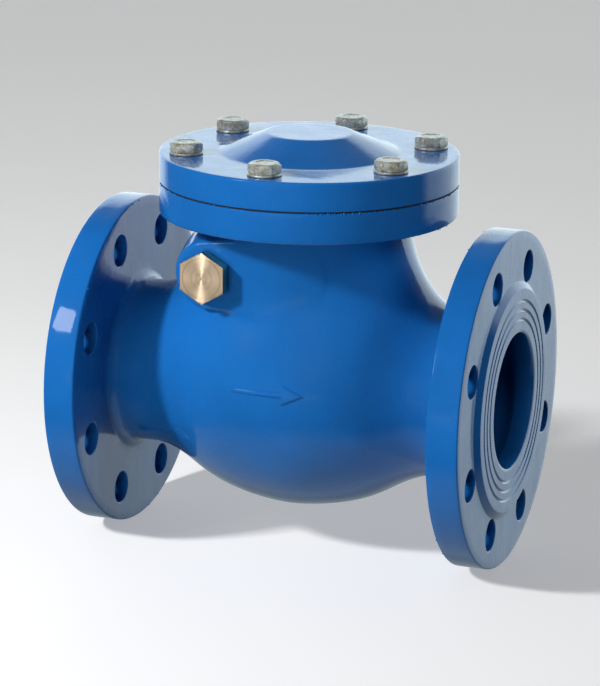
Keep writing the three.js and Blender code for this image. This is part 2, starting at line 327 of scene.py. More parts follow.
def hinge_boss(x, y, z, face_y, side, pad_end_x):
    """A drafted round boss about the hinge line; on the front it runs on as a flat pad along the neck."""
    draft, draft_depth, root_depth = 0.26, 23, 34
    pad_widening, pad_climb, pad_sinking, sinks_from_x = 0.09, 0.04, 0.006, -10
    behind = (y - face_y) * -side - pad_sinking * np.clip(x - sinks_from_x, 0, 60) ** 2
    spine = np.clip(x, HINGE_X, pad_end_x)
    along = spine - HINGE_X
    sideways = np.hypot(x - spine, z - HINGE_Z - pad_climb * along)
    drafted = BOSS_FACE_R + pad_widening * along + draft * np.clip(behind, 0, draft_depth)
    boss = meet(sideways - drafted, -behind, 2.2)
    return meet(boss, behind - root_depth, 10)


def casting_field(x, y, z):
    """How far outside the body's cast skin a point is, in millimetres."""
    across = np.hypot(y, z)
    upright = np.hypot(x, y)
    form = join(ellipsoid(x, across, BELLY_HALF, BELLY_R), across - NECK_R, 12)
    lengthwise = (x / np.maximum(upright, 1)) ** 2
    form = join(form, np.maximum(upright - BONNET_R, -z), 14 + 30 * lengthwise)
    form = join(form, hinge_boss(x, y, z, BOSS_FACE_Y, -1, 5), 3.2)
    form = join(form, hinge_boss(x, y, z, REAR_BOSS_Y, 1, HINGE_X), 9)
    # Cores inside the flange plates and the top plate, set in a little from the plates' faces.
    sunk, flange_core_r, top_core_r = 0.15, 64, 80
    flange = np.maximum(FLANGE_BACK_X + sunk - np.abs(x), across - flange_core_r)
    form = join(form, flange, 7)
    top = np.maximum(TOP_UNDERSIDE_Z + sunk - z, upright - top_core_r)
    form = join(form, top, 8)
    ripple = (np.sin(0.09 * x + 1) * np.sin(0.11 * y + 0.05 * z)
              + np.sin(0.07 * z - 2) * np.sin(0.13 * x - 0.06 * y))
    form = form + 0.16 * ripple
    inside_flange_x, inside_top_z = 112, 108
    return np.maximum(np.maximum(form, np.abs(x) - inside_flange_x), z - inside_top_z)


def skin(name, field, low, high, step):
    """The surface where a field is zero, one vertex to a cell, drawn onto the surface."""
    lines = [np.arange(a, b + step, step) for a, b in zip(low, high)]
    values = field(*np.meshgrid(*lines, indexing="ij"))
    corners = [values[i:i - 1 or None, j:j - 1 or None, k:k - 1 or None]
               for i in (0, 1) for j in (0, 1) for k in (0, 1)]
    inside = sum((c < 0).astype(int) for c in corners)
    mixed = (inside > 0) & (inside < 8)
    number = np.full(mixed.shape, -1)
    number[mixed] = np.arange(mixed.sum())
    cells = np.argwhere(mixed)
    points = np.array(low) + (cells + 0.5) * step
    points = draw_onto(field, points, step)
    faces = []
    for axis in range(3):
        near = np.take(values, range(values.shape[axis] - 1), axis) < 0
        far = np.take(values, range(1, values.shape[axis]), axis) < 0
        u, v = [(1, 2), (2, 0), (0, 1)][axis]
        for crossing, order in ((near & ~far, 1), (~near & far, -1)):
            at = np.argwhere(crossing)
            at = at[(at[:, u] > 0) & (at[:, v] > 0)]
            at = at[(at[:, u] < mixed.shape[u]) & (at[:, v] < mixed.shape[v])]
            ring = []
            for du, dv in ((-1, -1), (0, -1), (0, 0), (-1, 0)):
                cell = at.copy()
                cell[:, u] += du
                cell[:, v] += dv
                ring.append(number[tuple(cell.T)])
            faces.append(np.stack(ring, 1)[:, ::order])
    return make_piece(name, points, np.concatenate(faces).tolist(), 40)


def draw_onto(field, points, step):
    """Moves points along the field's slope until they lie on its surface, never further than a cell."""
    start = points.copy()
    nudge = 0.05
    for _ in range(4):
        slope = np.stack([
            (field(*(points + nudge * unit).T) - field(*(points - nudge * unit).T)) / (2 * nudge)
            for unit in np.eye(3)], 1)
        steep = np.maximum((slope**2).sum(1), 0.05)
        points = points - slope * (field(*points.T) / steep)[:, None]
        points = start + np.clip(points - start, -0.75 * step, 0.75 * step)
    return points


# Castings.

def pipe_flange(name, side):
    """A flange plate with its raised face, three gasket grooves and softened rims."""
    groove_radii, half_width, depth = (59, 53.5, 48), 1.0, 0.8
    front = []
    for radius in groove_radii:
        front += [(radius + half_width, FACE_X), (radius, FACE_X - depth), (radius - half_width, FACE_X)]
    profile = soften([
        (0, FLANGE_BACK_X), (FLANGE_R, FLANGE_BACK_X, 1.2), (FLANGE_R, FACE_X - RAISED_T, 1.0),
        (RAISED_FOOT_R, FACE_X - RAISED_T, 0.6), (RAISED_R, FACE_X, 0.5), *front, (0, FACE_X),
    ], steps=4)
    if side < 0:
        profile = [(radius, -along) for radius, along in profile][::-1]
    return turned(name, dense(profile, 5), "X")


def spool(name, radius, low, high, axis, centre, rounding=0.7, sides=40):
    """A cutter for a through hole whose two mouths are rounded over."""
    flare = rounding - 0.05
    past = 1.0
    profile = [(0, low - past), (radius + flare, low - past)]
    for end, way in ((low, 1), (high, -1)):
        arc = []
        for k in range(5):
            turn = math.radians(10 + 80 * k / 4)
            arc.append((radius + rounding * (1 - math.sin(turn)),
                        end + way * rounding * (1 - math.cos(turn))))
        profile += arc if way > 0 else arc[::-1]
    profile += [(radius + flare, high + past), (0, high + past)]
    return turned(name, profile, axis, centre, sides)


def flange_hole_cutters():
    places = circle_places(BOLT_COUNT, BOLT_CIRCLE_R, math.pi / BOLT_COUNT)
    cutters = []
    for side in (-1, 1):
        low, high = sorted((side * FLANGE_BACK_X, side * (FACE_X - RAISED_T)))
        cutters += [spool("hole", BOLT_HOLE_R, low, high, "X", (0, y, z)) for y, z in places]
    return gather(cutters)


def cover_screw_places():
    return [node_centre(f"cover_washer_{i}")[:2] for i in range(1, COVER_BOLTS + 1)]


def waterway():
    """Inlet bore, seat recess, chamber and outlet passage as one turned cutter."""
    seat_low, seat_high = node_box("seat_ring")
    recess_r, recess_x = seat_high[1] + GAP, seat_low[0] - GAP
    pocket_x = -CHAMBER_HALF * math.sqrt(1 - (NOZZLE_R / CHAMBER_R) ** 2)
    neck_x = CHAMBER_HALF * math.sqrt(1 - (PASSAGE_R / CHAMBER_R) ** 2)
    start, end = math.acos(pocket_x / CHAMBER_HALF), math.acos(neck_x / CHAMBER_HALF)
    chamber = [(CHAMBER_R * math.sin(t), CHAMBER_HALF * math.cos(t)) for t in np.linspace(start, end, 30)]
    past = FACE_X + 1
    mouth = [(BORE_R + 1.4, past), (BORE_R + 1.4, FACE_X), (BORE_R + 0.4, FACE_X - 0.4),
             (BORE_R, FACE_X - 1.4)]
    profile = [(0, -past)] + [(r, -x) for r, x in mouth]
    profile += [(BORE_R, recess_x), (recess_r, recess_x), (recess_r, seat_high[0] - 0.6),
                (recess_r + 0.6, seat_high[0]), (NOZZLE_R - 1, seat_high[0]), (NOZZLE_R, seat_high[0] - 1)]
    profile += chamber + [(PASSAGE_R, OUTLET_LIP_X - 3), (BORE_R + 0.3, OUTLET_LIP_X - 0.3),
                          (BORE_R, OUTLET_LIP_X + 1)]
    profile += mouth[::-1] + [(0, past)]
    return turned("waterway", dense(profile, 6), "X", sides=112)


def hinge_bores():
    """Plug bore, bush bores, the room that the arm's hub turns in, and the blind bore for the pin's end."""
    outside_y = BOSS_FACE_Y - 1
    plug_end_y = node_box("hinge_pin")[0][1] - 1
    bush_end_y = node_box("hinge_bush_rear")[1][1] + GAP
    blind_end_y = node_box("hinge_pin")[1][1] + 1
    profile = [(0, outside_y), (PLUG_BORE_R, outside_y), (PLUG_BORE_R, plug_end_y), (BUSH_BORE_R, plug_end_y),
               (BUSH_BORE_R, -LUG_FACE_Y), (HUB_ROOM_R, -LUG_FACE_Y), (HUB_ROOM_R, LUG_FACE_Y),
               (BUSH_BORE_R, LUG_FACE_Y), (BUSH_BORE_R, bush_end_y), (PIN_BORE_R, bush_end_y),
               (PIN_BORE_R, blind_end_y), (0, blind_end_y)]
    return turned("bores", profile, "Y", (HINGE_X, 0, HINGE_Z), sides=48)


def hinge_lugs():
    lugs = []
    for side in (-1, 1):
        low, high = sorted((side * LUG_FACE_Y, side * (LUG_FACE_Y + LUG_LENGTH)))
        profile = soften([(0, low), (LUG_R, low, 1.5), (LUG_R, high, 1.5), (0, high)], 3)
        lugs.append(turned("lug", profile, "Y", (HINGE_X, 0, HINGE_Z), sides=64))
    return gather(lugs)


def flow_arrow():
    """A raised arrow on the front of the belly.

    It is a slab sunk in the skin, proud of it only inside the arrow.
    """
    middle_z, bar_half, bar_middle_x, bar_reach = 10, 1.8, -2, 17.5
    head_x, tip_x, head_slope = 12, 25.5, 0.46
    spacing, edge, relief, thickness = 0.5, 0.9, 1.2, 4
    x, z = np.meshgrid(np.arange(-25, 30.1, spacing), np.arange(1.5, 18.6, spacing), indexing="ij")
    bar = np.maximum(np.abs(z - middle_z) - bar_half, np.abs(x - bar_middle_x) - bar_reach)
    head = np.maximum(np.abs(z - middle_z) - head_slope * (tip_x - x), head_x - x)
    inside = np.clip(-np.minimum(bar, head) / edge, -1, 1)
    y = -BELLY_R * np.ones_like(x)
    for _ in range(6):
        y += casting_field(x, y, z)
    front = y + 0.1 - relief * inside
    rows, columns = x.shape
    vertices = [(x[i, j], front[i, j], z[i, j]) for i in range(rows) for j in range(columns)]
    vertices += [(x[i, j], y[i, j] + thickness, z[i, j]) for i in range(rows) for j in range(columns)]
    behind = rows * columns
    faces = []
    for i in range(rows - 1):
        for j in range(columns - 1):
            a, b = i * columns + j, (i + 1) * columns + j
            faces += [[a, b, b + 1, a + 1], [behind + a + 1, behind + b + 1, behind + b, behind + a]]
    rim = [i * columns for i in range(rows)] + [(rows - 1) * columns + j for j in range(1, columns)]
    rim += [i * columns + columns - 1 for i in range(rows - 2, -1, -1)] + list(range(columns - 2, 0, -1))
    for a, b in zip(rim, rim[1:] + rim[:1]):
        faces.append([b, a, behind + a, behind + b])
    return make_piece("arrow", vertices, faces)


def body_casting():
    body = skin("valve_body_casting", casting_field, (-114, -82, -80), (114, 82, 110), 1.7)
    combine(body, flow_arrow(), "UNION")
    combine(body, pipe_flange("flange_in", -1), "UNION")
    combine(body, pipe_flange("flange_out", 1), "UNION")
    plate = soften([(0, TOP_UNDERSIDE_Z), (TOP_R, TOP_UNDERSIDE_Z, 1.3), (TOP_R, TOP_FACE_Z, 0.5),
                    (0, TOP_FACE_Z)])
    combine(body, turned("top_plate", dense(plate, 4), "Z", sides=160), "UNION")
    combine(body, waterway(), "DIFFERENCE")
    opening = [(0, OPENING_FLOOR_Z), (OPENING_R, OPENING_FLOOR_Z), (OPENING_R, TOP_FACE_Z - 1),
               (OPENING_R + 1.5, TOP_FACE_Z + 1), (0, TOP_FACE_Z + 1)]
    combine(body, turned("opening", dense(opening, 6), "Z", sides=112), "DIFFERENCE")
    combine(body, hinge_lugs(), "UNION")
    combine(body, hinge_bores(), "DIFFERENCE")
    combine(body, flange_hole_cutters(), "DIFFERENCE")
    tip = node_box("cover_bolt_1")[0][2] - 1.5
    holes = [plain_rod("tapping", SCREW_TAPPING_R, tip, TOP_FACE_Z + 1, "Z", (x, y, 0), 24)
             for x, y in cover_screw_places()]
    combine(body, gather(holes), "DIFFERENCE")
    shade(body, 36)
    return body


def cover_casting():
    """Round cover with a shallow dome, turned, then drilled."""
    profile = soften([
        (0, HOLLOW_ROOF_Z), (HOLLOW_ROOF_R, HOLLOW_ROOF_Z, 6), (HOLLOW_R, HOLLOW_SHOULDER_Z, 5),
        (HOLLOW_R, COVER_BASE_Z), (TOP_R, COVER_BASE_Z, 0.5), (TOP_R, COVER_TOP_Z, 1.3),
        (DOME_FOOT_R, COVER_TOP_Z, 7), (DOME_TOP_R, DOME_TOP_Z, 8), (0, DOME_TOP_Z),
    ], steps=8)
    cover = turned("bonnet_cover_casting", dense(profile, 3.5), "Z", sides=176)
    cutters = [spool("hole", SCREW_HOLE_R, COVER_BASE_Z, COVER_TOP_Z, "Z", (x, y, 0), 0.8, 28)
               for x, y in cover_screw_places()]
    combine(cover, gather(cutters), "DIFFERENCE")
    shade(cover, 36)
    return cover


# Turned and hexagonal fittings.

def ring(name, node, axis, inner, outer, edge=0.3, sides=96):
    """A flat ring as long as its node, with softened edges."""
    low, high = node_box(node)
    centre = node_centre(node)
    along = "XYZ".index(axis)
    profile = soften([(inner, low[along], edge), (outer, low[along], edge),
                      (outer, high[along], edge), (inner, high[along], edge)], 3)
    centre[along] = 0
    return turned(name, profile, axis, centre, sides, closed=True)


def bevel(piece, width, segments=2, angle=25):
    step = piece.modifiers.new("edges", "BEVEL")
    step.width = width * MM
    step.segments = segments
    step.limit_method = "ANGLE"
    step.angle_limit = math.radians(angle)
    settle(piece)
    shade(piece, 40)
    return piece


def hexagon_head(name, across_flats, low, high, axis, centre, crown_drop, point_up=False):
    """A hexagon with its outer corners turned off to a shallow cone."""
    head = hex_prism(name, across_flats, low, high, axis, centre, point_up)
    half = across_flats / 2
    reach = half * 2 / math.sqrt(3) - half
    crown = [(0, low - 1), (half + 6, low - 1), (half + 6, low), (half + reach, high - crown_drop),
             (half * 0.95, high), (0, high)]
    combine(head, turned("crown", crown, axis, centre, 72), "INTERSECT")
    return head


def cover_bolt():
    """One cover screw on the Z axis: chamfered hexagon head, slightly hollow top, plain shank."""
    low, high = node_box("cover_bolt_1")
    seat = node_box("cover_washer_1")[1][2] + FACE_GAP
    bolt = hexagon_head("cover_bolt", HEAD_FLATS, seat, high[2], "Z", (0, 0, 0), 1.5)
    dish = [(0, high[2] - 0.35), (5.2, high[2] - 0.35), (5.9, high[2] + 0.2), (0, high[2] + 0.2)]
    combine(bolt, turned("dish", dish, "Z", sides=48), "DIFFERENCE")
    bevel(bolt, 0.28)
    shank = [(0, low[2]), (SCREW_R - 0.8, low[2]), (SCREW_R, low[2] + 1), (SCREW_R, seat + 1), (0, seat + 1)]
    combine(bolt, turned("shank", shank, "Z", sides=32), "UNION")
    shade(bolt, 40)
    return bolt


def cover_washer():
    low, high = node_box("cover_washer_1")
    profile = soften([(WASHER_BORE_R, low[2], 0.2), (WASHER_R, low[2], 0.3), (WASHER_R, high[2], 0.55),
                      (WASHER_BORE_R, high[2], 0.2)], 3)
    return turned("cover_washer", profile, "Z", sides=56, closed=True)


# Node trees, and the pieces grown by them.

def feed(node, feeds):
    """Fills a node's inputs, each from another node's output or with a plain value."""
    for key, value in feeds.items():
        if isinstance(value, bpy.types.NodeSocket):
            node.id_data.links.new(value, node.inputs[key])
        else:
            node.inputs[key].default_value = value


def add_node(tree, kind, feeds, **settings):
    """A new node with its settings made and its inputs filled."""
    node = tree.nodes.new(kind)
    for key, value in settings.items():
        setattr(node, key, value)
    feed(node, feeds)
    return node


def new_tree(name, inputs):
    """A Geometry Nodes tree with named inputs.

    Gives the tree, its input sockets and the value that each input's identifier takes.
    """
    tree = bpy.data.node_groups.new(name, "GeometryNodeTree")
    values = {}
    for label, kind, value in inputs:
        socket = tree.interface.new_socket(label, in_out="INPUT", socket_type="NodeSocket" + kind)
        values[socket.identifier] = value
    tree.interface.new_socket("Result", in_out="OUTPUT", socket_type="NodeSocketGeometry")
    return tree, tree.nodes.new("NodeGroupInput").outputs, values


def grow(name, tree, copies, given, values):
    """Ends a tree in plain geometry with its material, and makes its mesh."""
    solid = add_node(tree, "GeometryNodeRealizeInstances", {0: copies})
    finish = add_node(tree, "GeometryNodeSetMaterial", {
        "Geometry": solid.outputs[0], "Material": given["Material"]})
    add_node(tree, "NodeGroupOutput", {0: finish.outputs[0]})
    holder = bpy.data.objects.new(name, bpy.data.meshes.new(name))
    bpy.context.scene.collection.objects.link(holder)
    step = holder.modifiers.new(name, "NODES")
    step.node_group = tree
    for identifier, value in values.items():
        step[identifier] = value
    settle(holder)
    return holder


def chance(tree, seed, least, most, kind="FLOAT"):
    """A random number or vector for each point, between two values."""
    low, high, out = {"FLOAT": (2, 3, 1), "FLOAT_VECTOR": (0, 1, 0)}[kind]
    feeds = {"Seed": seed, low: least, high: most}
    return add_node(tree, "FunctionNodeRandomValue", feeds, data_type=kind).outputs[out]


def round_the_cover(name, blank, material, turn, spread, seed):
    """Copies of one fastener on the cover's bolt circle, each turned a little differently."""
    tree, given, values = new_tree(name, (
        ("Fastener", "Object", blank), ("Count", "Int", COVER_BOLTS),
        ("Circle Radius", "Float", COVER_PCD_R * MM),
        ("First Angle", "Float", math.radians(30)), ("Least Turn", "Float", math.radians(turn - spread)),
        ("Most Turn", "Float", math.radians(turn + spread)), ("Seed", "Int", seed),
        ("Material", "Material", material)))
    circle = add_node(tree, "GeometryNodeMeshCircle", {
        "Vertices": given["Count"], "Radius": given["Circle Radius"]})
    first = add_node(tree, "ShaderNodeCombineXYZ", {"Z": given["First Angle"]})
    aimed = add_node(tree, "GeometryNodeTransform", {
        "Geometry": circle.outputs["Mesh"], "Rotation": first.outputs[0]})
    turn_by = chance(tree, given["Seed"], given["Least Turn"], given["Most Turn"])
    twist = add_node(tree, "ShaderNodeCombineXYZ", {"Z": turn_by})
    source = add_node(tree, "GeometryNodeObjectInfo", {"Object": given["Fastener"]})
    copies = add_node(tree, "GeometryNodeInstanceOnPoints", {
        "Points": aimed.outputs[0], "Instance": source.outputs["Geometry"], "Rotation": twist.outputs[0]})
    fasteners = grow(name, tree, copies.outputs[0], given, values)
    bpy.data.objects.remove(blank)
    return fasteners


def paint_beads(name, material, radius, height, share, seed, axis="Z"):
    """Small hardened drops of enamel strung unevenly round a rim, where the thick coat gathered."""
    tree, given, values = new_tree(name, (
        ("Rim Radius", "Float", radius * MM), ("Height", "Float", height * MM), ("Places", "Int", 420),
        ("Share", "Float", share), ("Drop Size", "Float", 0.75 * MM), ("Seed", "Int", seed),
        ("Material", "Material", material)))
    rim = add_node(tree, "GeometryNodeMeshCircle", {
        "Vertices": given["Places"], "Radius": given["Rim Radius"]})
    lift = add_node(tree, "ShaderNodeCombineXYZ", {"Z": given["Height"]})
    raised = add_node(tree, "GeometryNodeTransform", {
        "Geometry": rim.outputs["Mesh"], "Translation": lift.outputs[0]})
    pick = add_node(tree, "FunctionNodeCompare", {
        0: chance(tree, given["Seed"], 0.0, 1.0), 1: given["Share"]}, operation="LESS_THAN")
    drop = add_node(tree, "GeometryNodeMeshUVSphere", {
        "Segments": 10, "Rings": 6, "Radius": given["Drop Size"]})
    rounded = add_node(tree, "GeometryNodeSetShadeSmooth", {0: drop.outputs["Mesh"]})
    stretch = chance(tree, given["Seed"], (0.5, 0.5, 0.4), (1.0, 1.0, 1.5), "FLOAT_VECTOR")
    copies = add_node(tree, "GeometryNodeInstanceOnPoints", {
        "Points": raised.outputs[0], "Selection": pick.outputs[0], "Instance": rounded.outputs[0],
        "Scale": stretch})
    beads = grow(name, tree, copies.outputs[0], given, values)
    if axis == "X":
        swing_to_x = Matrix(((0, 0, 1, 0), (1, 0, 0, 0), (0, 1, 0, 0), (0, 0, 0, 1)))
        beads.data.transform(swing_to_x)
    beads.data.transform(Matrix.Translation((0, 0, AXIS_Z * MM)))
    return beads


# Plug, gasket, disc and arm.

def hinge_plug():
    """A crisp hexagon on a round shank, its face turned with three fine rings and a centre mark."""
    low, high = node_box("hinge_plug")
    back = node_box("hinge_plug_seal")[0][1] - GAP
    centre = (HINGE_X, 0, HINGE_Z)
    plug = hex_prism("hinge_plug_hexagon", PLUG_FLATS, low[1], back, "Y", centre)
    bevel(plug, 0.55, 3)
    face = low[1] + 0.03
    front = [(0, face + 0.3), (0.7, face)]
    for radius, half, depth in ((3.2, 0.12, 0.06), (6.4, 0.12, 0.06), (11.8, 0.16, 0.1)):
        front += [(radius - half, face), (radius, face + depth), (radius + half, face)]
    past_corners_r = 17
    front += [(past_corners_r, face), (past_corners_r, back + 1), (0, back + 1)]
    combine(plug, turned("face", dense(front, 2), "Y", centre, 96), "INTERSECT")
    shank = soften([(0, back - 1), (PLUG_SHANK_R, back - 1), (PLUG_SHANK_R, high[1], 1), (0, high[1])], 3)
    combine(plug, turned("shank", shank, "Y", centre, 48), "UNION")
    shade(plug, 20)
    return plug


def cover_gasket():
    sheet = ring("cover_gasket_sheet", "cover_gasket", "Z", OPENING_R + 1, TOP_R - 0.6, 0.1, 144)
    holes = [plain_rod("hole", SCREW_HOLE_R + GAP, GASKET_LOW - 1, GASKET_HIGH + 1, "Z", (x, y, 0), 24)
             for x, y in cover_screw_places()]
    combine(sheet, gather(holes), "DIFFERENCE")
    return sheet


def valve_disc():
    """Disc plate with a spigot inside its facing ring, a raised boss and a stud with a cross hole."""
    low, high = node_box("disc")
    front_x, end_x = low[0], high[0]
    plate_x = node_box("disc_facing_ring")[1][0] + GAP
    back_x = plate_x + DISC_T
    boss_x = back_x + DISC_BOSS_T
    profile = soften([
        (0, front_x), (SPIGOT_R, front_x, 0.5), (SPIGOT_R, plate_x, 0.4), (DISC_R, plate_x, 0.6),
        (DISC_R, back_x - 2, 1.5), (DISC_R - 4, back_x, 2.5), (DISC_BOSS_R + 3.5, back_x, 3),
        (DISC_BOSS_R, boss_x, 1), (STUD_R, boss_x, 0.5), (STUD_R, end_x - 1, 0.3), (STUD_R - 1, end_x, 0.2),
        (0, end_x)], 4)
    plate = turned("disc_plate", dense(profile, 4), "X", sides=112)
    across_stud = (node_centre("disc_split_pin")[0], 0, 0)
    combine(plate, plain_rod("hole", SPLIT_PIN_R + GAP, -10, 10, "Y", across_stud, 20), "DIFFERENCE")
    return plate


def disc_nut():
    low, high = node_box("disc_nut")
    nut = hexagon_head("disc_lock_nut", NUT_FLATS, low[0], high[0], "X", (0, 0, 0), 1.6, point_up=True)
    combine(nut, plain_rod("bore", STUD_BORE_R, low[0] - 1, high[0] + 1, "X", sides=36), "DIFFERENCE")
    return bevel(nut, 0.3)


def split_pin():
    """Straight legs through the stud, with a looped eye at the front end."""
    low, high = node_box("disc_split_pin")
    x = node_centre("disc_split_pin")[0]
    start_y, end_y = -8.5, high[1]
    legs = soften([(0, start_y), (SPLIT_PIN_R, start_y, 0.5), (SPLIT_PIN_R, end_y, 0.6), (0, end_y)], 3)
    pin = turned("disc_cotter", legs, "Y", (x, 0, 0), 24)
    loop_r, wire_r = 1.9, 0.8
    wire = [(loop_r + wire_r * math.cos(t), -wire_r * math.sin(t))
            for t in np.linspace(0, -2 * math.pi, 12, endpoint=False)]
    combine(pin, turned("eye", wire[::-1], "X", (x, low[1] + loop_r + wire_r, 0), 24, closed=True), "UNION")
    return pin


def arm_field(x, y, z):
    """How far a point is outside the cast arm: hub, bent web, eye and stop lug."""
    x, z = x - HINGE_X, z - HINGE_Z
    eye_x = 13.3
    lug_half, lug_top = 3, 11.6

    def bar(ax, az, bx, bz, half):
        run, rise = bx - ax, bz - az
        share = np.clip(((x - ax) * run + (z - az) * rise) / (run ** 2 + rise ** 2), 0, 1)
        return np.hypot(x - ax - share * run, z - az - share * rise) - half

    web = join(bar(0, 0, 11, -19, 6), bar(eye_x, -24, eye_x, -HINGE_Z, 4.4), 5)
    web = meet(web, np.abs(y) - WEB_HALF, 2)
    hub = meet(np.hypot(x, z) - HUB_R, np.abs(y) - HUB_HALF, 1.2)
    eye = meet(np.hypot(y, z + HINGE_Z) - EYE_R, np.abs(x - eye_x) - EYE_T / 2, 1.4)
    lug = meet(meet(np.abs(x) - lug_half, np.abs(y) - WEB_HALF, 1), z - lug_top, 1)
    lug = np.maximum(lug, -z)
    return join(join(join(web, hub, 4), eye, 4), lug, 2)


def swing_arm():
    """The cast arm, bored for the pin and the stud, and spot-faced on both sides of its eye."""
    low, high = node_box("swing_arm")
    arm = skin("swing_arm_casting", arm_field, low - 2, high + 2, 1.1)
    past_hub = HUB_HALF + 1
    hinge = (HINGE_X, 0, HINGE_Z)
    combine(arm, plain_rod("bore", PIN_BORE_R, -past_hub, past_hub, "Y", hinge), "DIFFERENCE")
    combine(arm, plain_rod("bore", EYE_BORE_R, -40, -15, "X"), "DIFFERENCE")
    washer_side = node_box("disc_washer")[0][0] - GAP
    disc_side = washer_side - EYE_T
    for radius, start, end in ((DISC_BOSS_R + 1.7, disc_side - 4, disc_side),
                               (NUT_WASHER_R + 1.4, washer_side, washer_side + 4)):
        combine(arm, plain_rod("spot_face", radius, start, end, "X"), "DIFFERENCE")
    shade(arm, 40)
    return arm


# Materials.

def shader(name, color, roughness, metallic=0.0):
    """A material with its Principled shader and object coordinates ready."""
    material = bpy.data.materials.new(name)
    material.use_nodes = True
    tree = material.node_tree
    surface = tree.nodes["Principled BSDF"]
    feed(surface, {"Base Color": (*color, 1), "Roughness": roughness, "Metallic": metallic})
    place = tree.nodes.new("ShaderNodeTexCoord").outputs["Object"]
    return material, tree, surface, place


def noise(tree, place, scale, detail=3.0, roughness=0.5):
    feeds = {"Vector": place, "Scale": scale, "Detail": detail, "Roughness": roughness}
    return add_node(tree, "ShaderNodeTexNoise", feeds).outputs["Fac"]


def ramp(tree, value, *stops):
    """A colour ramp over a value; each stop is (position, colour)."""
    node = tree.nodes.new("ShaderNodeValToRGB")
    marks = node.color_ramp.elements
    while len(marks) < len(stops):
        marks.new(0.5)
    for mark, (position, color) in zip(marks, stops):
        mark.position = position
        mark.color = (*color, 1)
    feed(node, {"Fac": value})
    return node.outputs["Color"]


def bump(tree, height, strength, distance, under=None):
    feeds = {"Height": height, "Strength": strength, "Distance": distance}
    if under is not None:
        feeds["Normal"] = under
    return add_node(tree, "ShaderNodeBump", feeds).outputs["Normal"]


def grey(level):
    return (level, level, level)


def stretched(tree, place, scale):
    """Object coordinates with each direction scaled, so that a pattern runs along one of them."""
    return add_node(tree, "ShaderNodeMapping", {"Vector": place, "Scale": scale}).outputs[0]


def blue_enamel():
    """Thick glossy epoxy over sand-cast iron: deep blue, slow waves, faint runs and orange peel."""
    material, tree, surface, place = shader("blue_enamel", ENAMEL, 0.3)
    tone = ramp(tree, noise(tree, place, 14, 4), (0.3, tuple(c * 0.88 for c in ENAMEL)),
                (0.7, tuple(c * 1.12 for c in ENAMEL)))
    sheen = ramp(tree, noise(tree, place, 60, 3), (0.3, grey(0.2)), (0.75, grey(0.36)))
    waves = bump(tree, noise(tree, place, 26, 2), 0.35, 0.0012)
    runs = bump(tree, noise(tree, stretched(tree, place, (1, 1, 0.12)), 80, 2), 0.25, 0.0005, waves)
    peel = bump(tree, noise(tree, place, 420, 2), 0.07, 0.0003, runs)
    feed(surface, {"Base Color": tone, "Roughness": sheen, "Normal": peel, "Coat Normal": peel,
                   "Coat Weight": 1.0, "Coat Roughness": 0.05, "Coat IOR": 1.5, "Specular IOR Level": 0.1})
    return material


def radial(tree, place, centre, axis):
    """The direction away from an axis through centre, and the distance from it."""
    away = add_node(tree, "ShaderNodeVectorMath", {0: place, 1: centre}, operation="SUBTRACT")
    across = [0 if a == axis else 1 for a in "XYZ"]
    flat = add_node(tree, "ShaderNodeVectorMath", {0: away.outputs[0], 1: across}, operation="MULTIPLY")
    length = add_node(tree, "ShaderNodeVectorMath", {0: flat.outputs[0]}, operation="LENGTH")
    return flat.outputs[0], length.outputs["Value"]


def turning_marks(tree, distance, pitch):
    """Fine rings left by a lathe tool, as a height."""
    rings = add_node(tree, "ShaderNodeMath", {0: distance, 1: 1 / pitch}, operation="MULTIPLY")
    feeds = {"W": rings.outputs[0], "Scale": 1, "Detail": 3}
    return add_node(tree, "ShaderNodeTexNoise", feeds, noise_dimensions="1D").outputs["Fac"]


def turned_metal(name, colors, roughness, centre, axis, anisotropic=0.9, pitch=0.0004):
    """Lathe-turned metal: rings round its axis and a highlight that runs through the middle."""
    material, tree, surface, place = shader(name, colors[0], roughness, 1.0)
    tone = ramp(tree, noise(tree, place, 90, 4), (0.3, colors[0]), (0.75, colors[1]))
    away, distance = radial(tree, place, centre, axis)
    marks = bump(tree, turning_marks(tree, distance, pitch), 0.12, 0.00004)
    feed(surface, {"Base Color": tone, "Normal": marks, "Tangent": away, "Anisotropic": anisotropic})
    return material


def plated_steel():
    """Zinc plate with a patchy olive and bluish passivate, and bare rubbed spots."""
    material, tree, surface, place = shader("zinc_steel", (0.5, 0.46, 0.38), 0.35, 0.6)
    tone = ramp(tree, noise(tree, place, 260, 4, 0.65), (0.3, (0.20, 0.18, 0.13)), (0.45, (0.42, 0.39, 0.30)),
                (0.58, (0.50, 0.56, 0.56)), (0.75, (0.80, 0.78, 0.72)))
    sheen = ramp(tree, noise(tree, place, 500, 3), (0.3, grey(0.22)), (0.8, grey(0.45)))
    grain = bump(tree, noise(tree, place, 900, 3), 0.3, 0.0003)
    dents = bump(tree, noise(tree, place, 220, 2), 0.4, 0.0005, grain)
    feed(surface, {"Base Color": tone, "Roughness": sheen, "Normal": dents})
    return material


def machined_steel():
    """Machined steel: bright, slightly uneven in tone, with a fine grain."""
    material, tree, surface, place = shader("stainless", (0.5, 0.5, 0.5), 0.32, 1.0)
    tone = ramp(tree, noise(tree, place, 70, 5, 0.6), (0.3, (0.42, 0.42, 0.42)), (0.75, (0.6, 0.6, 0.59)))
    sheen = ramp(tree, noise(tree, place, 300, 3), (0.3, grey(0.24)), (0.8, grey(0.42)))
    grain = bump(tree, noise(tree, place, 700, 3), 0.15, 0.0002)
    feed(surface, {"Base Color": tone, "Roughness": sheen, "Normal": grain})
    return material


